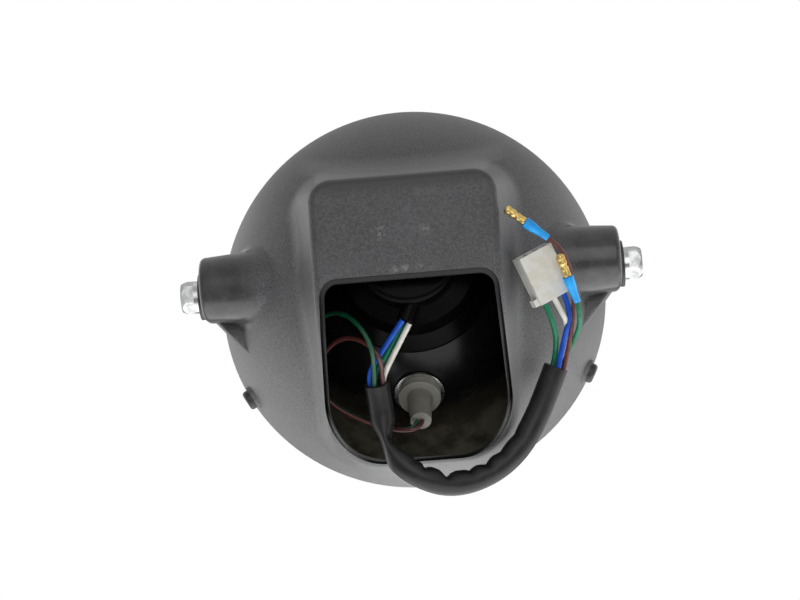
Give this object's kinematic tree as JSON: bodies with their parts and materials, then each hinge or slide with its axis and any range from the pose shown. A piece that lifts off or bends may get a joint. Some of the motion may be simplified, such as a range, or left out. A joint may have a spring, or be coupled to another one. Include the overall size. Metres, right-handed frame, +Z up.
{
  "type": "motorcycle headlight",
  "caption": "Round headlight with a moulded grained bowl, side pivot bolts, a flared cable collar behind and a sleeved wire loom ending in a white connector and brass bullet terminals.",
  "frame": {"origin": "middle of the pivot line through the two side bolts, on the lamp's own axis", "axes": "+X along the pivot line to the right seen from behind, +Y the way the beam points, +Z up as mounted"},
  "size_m": [0.2048, 0.115, 0.1884],
  "materials": {
    "bowl": "dark grey, fine moulded grain",
    "zinc": "zinc plated",
    "black_steel": "blackened",
    "rim": "bright plated",
    "lens": "clear, fluted inside",
    "reflector": "black outside, mirror inside",
    "bulb": "clear",
    "brass": "bright",
    "black_plastic": "matte",
    "black_rubber": "matte",
    "grey_rubber": "matte",
    "nylon": "natural white",
    "sky_blue": "soft vinyl",
    "sleeve": "soft vinyl tube",
    "wire_white": "vinyl",
    "wire_blue": "vinyl",
    "wire_green": "vinyl",
    "wire_brown": "vinyl"
  },
  "bodies": {
    "root": {"housing": "bowl", "boss_inserts": "zinc", "flat_washers": "black_steel", "spring_washers": "zinc", "pivot_bolts": "zinc", "front_rim": "rim", "rim_screws": "black_steel", "rim_nuts": "zinc", "lens": "lens", "lens_gasket": "black_rubber", "reflector": "reflector", "reflector_clips": "zinc", "bulb_glass": "bulb", "bulb_base": "zinc", "bulb_terminals": "brass", "bulb_lock_ring": "zinc", "bulb_plug": "black_plastic", "dust_boot": "black_rubber", "parking_ring": "zinc", "parking_holder": "grey_rubber", "parking_bulb": "bulb", "connector_block": "nylon", "connector_pins": "brass", "bullet_pin_1": "brass", "bullet_pin_2": "brass", "bullet_sleeve_1": "sky_blue", "bullet_sleeve_2": "sky_blue", "harness_sleeve": "sleeve", "lead_white": "wire_white", "lead_blue": "wire_blue", "lead_green": "wire_green", "lamp_brown": "wire_brown", "lamp_green": "wire_green", "tail_green": "wire_green", "tail_white": "wire_white", "tail_blue": "wire_blue", "tail_brown": "wire_brown", "tail_thin_green": "wire_green"}
  },
  "joints": []
}
